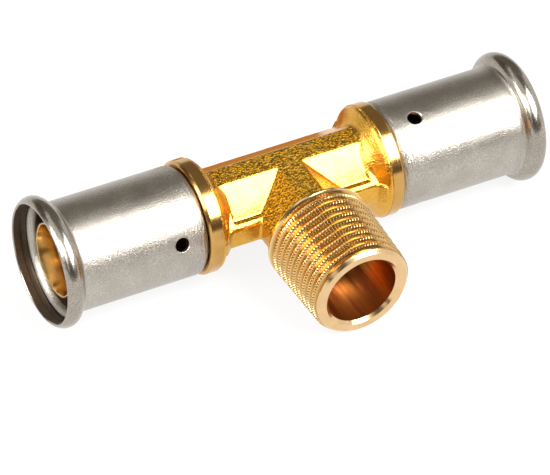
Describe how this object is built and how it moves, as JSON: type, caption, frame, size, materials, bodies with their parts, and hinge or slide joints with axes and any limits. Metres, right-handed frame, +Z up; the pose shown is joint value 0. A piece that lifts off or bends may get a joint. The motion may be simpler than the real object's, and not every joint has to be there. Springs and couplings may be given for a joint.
{
  "type": "press fit pipe tee with a male thread branch",
  "caption": "Brass press tee for multilayer pipe: stainless press sleeves with rolled beads on the run and a tapered male thread on the branch.",
  "frame": {"origin": "where the axis of the run crosses the axis of the branch", "axes": "+X along the run to the right mouth, -Y along the branch to its threaded end, +Z up"},
  "size_m": [0.105, 0.0462, 0.0264],
  "materials": {
    "brass": "forged middle, machined collars and thread",
    "sleeve_steel": "satin drawn stainless",
    "seal_rubber": "matt",
    "washer_plastic": "matt"
  },
  "bodies": {
    "root": {"tee_body": "brass", "left_sleeve": "sleeve_steel", "right_sleeve": "sleeve_steel", "left_outer_oring": "seal_rubber", "left_inner_oring": "seal_rubber", "right_outer_oring": "seal_rubber", "right_inner_oring": "seal_rubber", "left_insulating_washer": "washer_plastic", "right_insulating_washer": "washer_plastic"}
  },
  "joints": []
}
